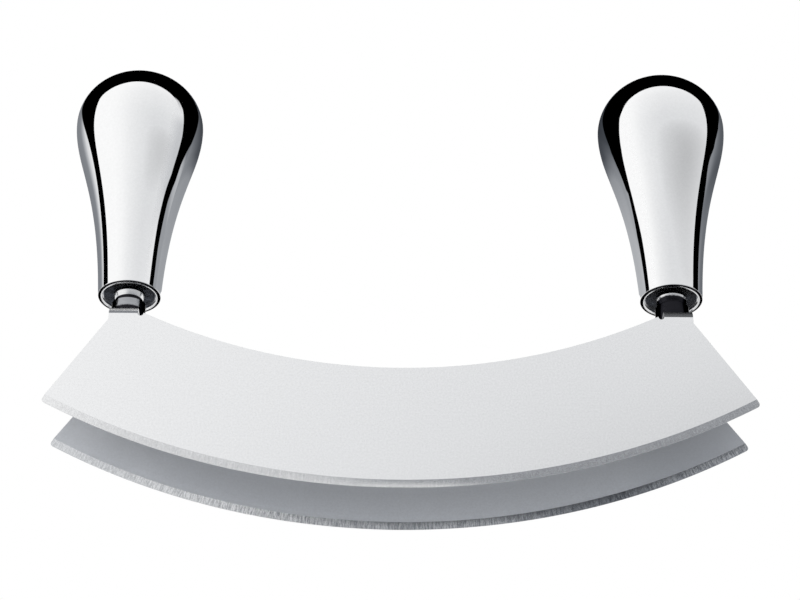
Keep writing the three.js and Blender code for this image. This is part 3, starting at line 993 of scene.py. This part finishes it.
def buildFrontSheet():
    s = studio
    material, tree, shader = bareMaterial("frontTint", "ShaderNodeBsdfTransparent")
    x, y, z = splitXyz(tree, objectPlace(tree))
    turn = calc(tree, "DEGREES", calc(tree, "ARCTAN2", x, calc(tree, "MULTIPLY", y, -1.0)))
    tone = toneRamp(tree, turn, s["frontTones"])
    along = spread(tree, turn, s["cloudTurn"] - s["cloudWidth"], s["cloudTurn"] + s["cloudWidth"], -1.0, 1.0)
    up = spread(tree, z, s["cloudHeight"] - s["cloudRise"], s["cloudHeight"] + s["cloudRise"], -1.0, 1.0)
    cloud = spread(tree, lengthOf(tree, along, up), 0.0, 1.0, 1.0 - s["cloudDepth"], 1.0)
    tone = mixColor(tree, 1.0, tone, cloud, "MULTIPLY")
    atFoot = spread(tree, z, *s["footHeights"], 1.0, 0.0)
    tone = mixColor(tree, atFoot, tone, toneRamp(tree, turn, s["frontFoot"]), "MULTIPLY")
    thin = toneRamp(tree, z, s["frontFade"])
    tree.links.new(mixColor(tree, thin, tone, white), shader.inputs["Color"])
    mesh = bmesh.new()
    steps = s["frontSteps"]
    columns = []
    for step in range(steps + 1):
        turn = math.radians(s["frontSpan"]) * (2 * step / steps - 1)
        x, y = s["frontRadius"] * math.sin(turn), -s["frontRadius"] * math.cos(turn)
        columns.append([mesh.verts.new((x, y, z)) for z in (s["apronHeight"], s["frontHeight"])])
    for first, second in zip(columns, columns[1:]):
        mesh.faces.new((first[0], second[0], second[1], first[1]))
    mesh.faces.new([column[0] for column in columns])
    setBesideCamera(newPiece("studio_front_sheet", mesh, material))


def buildRearSheet():
    s = studio
    material, tree, shader = bareMaterial("rearTint", "ShaderNodeBsdfTransparent")
    x, y, z = splitXyz(tree, objectPlace(tree))
    fromMiddle = calc(tree, "ABSOLUTE", x)
    atMiddle = spread(tree, fromMiddle, 0.0, s["middleHalf"], 1.0, 0.0)
    isRight = calc(tree, "GREATER_THAN", x, 0.0)
    inner, middle = [mixColor(tree, isRight, *[toneRamp(tree, z, stops) for stops in s[name]])
                     for name in ("rearInner", "rearMiddle")]
    between = mixColor(tree, atMiddle, inner, middle)
    isOuter = spread(tree, fromMiddle, handleAxis - 5 * mm, handleAxis)
    outer = toneRamp(tree, x, s["rearOuter"])
    shaded = mixColor(tree, 1.0, outer, toneRamp(tree, z, s["rearRight"]), "MULTIPLY")
    outer = mixColor(tree, isRight, outer, shaded)
    tone = mixColor(tree, isOuter, between, outer)
    blackFrom = spread(tree, fromMiddle, 0.0, s["blackReach"], *s["blackFrom"])
    blackFrom = mixValue(tree, isOuter, blackFrom, s["blackOuter"])
    isBlack = spread(tree, calc(tree, "SUBTRACT", z, blackFrom), -1 * mm, 1 * mm)
    tree.links.new(mixColor(tree, isBlack, tone, black), shader.inputs["Color"])
    mesh = bmesh.new()
    low, high = s["rearHeights"]
    half = s["rearHalf"]
    spots = ((-half, low), (half, low), (half, high), (-half, high))
    mesh.faces.new([mesh.verts.new((x, s["rearPlace"], z)) for x, z in spots])
    setBesideCamera(newPiece("studio_rear_sheet", mesh, material))


def buildBackApron():
    s = studio
    material, tree, shader = bareMaterial("backTint", "ShaderNodeBsdfTransparent")
    x, y, z = splitXyz(tree, objectPlace(tree))
    tree.links.new(toneRamp(tree, x, s["backTones"]), shader.inputs["Color"])
    mesh = bmesh.new()
    near, far = s["backApron"]
    spots = ((-far, near), (far, near), (far, far), (-far, far))
    mesh.faces.new([mesh.verts.new((x, y, s["apronHeight"])) for x, y in spots])
    setBesideCamera(newPiece("studio_back_apron", mesh, material))


def buildCard():
    s = studio
    material, tree, shader = bareMaterial("cardTones", "ShaderNodeEmission")
    x, y, z = splitXyz(tree, objectPlace(tree))
    towardsLeft = tree.nodes.new("ShaderNodeNewGeometry").outputs["Backfacing"]

    def pastLine(name):
        left, right = [lengthRamp(tree, z, stops) for stops in s[name]]
        line = mixValue(tree, towardsLeft, right, left)
        return spread(tree, calc(tree, "SUBTRACT", y, line), -0.5 * mm, 0.5 * mm)

    def toneOf(name):
        left, right = [toneRamp(tree, z, stops) for stops in s[name]]
        return mixColor(tree, towardsLeft, right, left)

    tone = mixColor(tree, pastLine("stripeBack"), black, toneOf("cardBack"))
    tone = mixColor(tree, pastLine("stripeFront"), toneOf("cardFront"), tone)
    tree.links.new(tone, shader.inputs["Color"])
    clear = tree.nodes.new("ShaderNodeBsdfTransparent")
    veil = calc(tree, "MULTIPLY", spread(tree, y, *s["cardVeil"]), spread(tree, z, *s["cardTop"], 1.0, 0.0))
    mixed = addNode(tree, "ShaderNodeMixShader", {0: veil, 1: clear.outputs[0], 2: shader.outputs[0]})
    tree.links.new(mixed.outputs[0], tree.nodes["Material Output"].inputs["Surface"])
    mesh = bmesh.new()
    low, high = s["rearHeights"][0], s["cardTop"][1]
    front, back = s["cardVeil"][0], s["rearPlace"]
    spots = ((front, low), (back, low), (back, high), (front, high))
    mesh.faces.new([mesh.verts.new((0.0, y, z)) for y, z in spots])
    setBesideCamera(newPiece("studio_card", mesh, material))


def buildLamp():
    s = studio
    data = bpy.data.lights.new("topLamp", "AREA")
    data.shape = "DISK"
    data.size = s["lampSize"]
    data.energy = s["lampPower"]
    lamp = bpy.data.objects.new("topLamp", data)
    lamp.location = s["lampPlace"]
    lamp.visible_glossy = False
    scene.collection.objects.link(lamp)


cameraSetup = {
    "place": Vector((-0.010547, -0.708382, -0.36761)),
    "looks": Vector((0.012373, 0.847958, 0.529919)),
    "lens": 117.54,
    "sensor": 36.0,
}


def buildCamera():
    data = bpy.data.cameras.new("camera")
    data.lens = cameraSetup["lens"]
    data.sensor_width = cameraSetup["sensor"]
    data.sensor_fit = "HORIZONTAL"
    data.clip_start = 0.01
    camera = bpy.data.objects.new("camera", data)
    camera.location = cameraSetup["place"]
    camera.rotation_mode = "QUATERNION"
    camera.rotation_quaternion = cameraSetup["looks"].to_track_quat("-Z", "Y")
    scene.collection.objects.link(camera)
    scene.camera = camera


buildWorld()
buildFloor()
buildBoard()
buildFrontSheet()
buildRearSheet()
buildBackApron()
buildCard()
buildLamp()
buildCamera()
print("studio made")
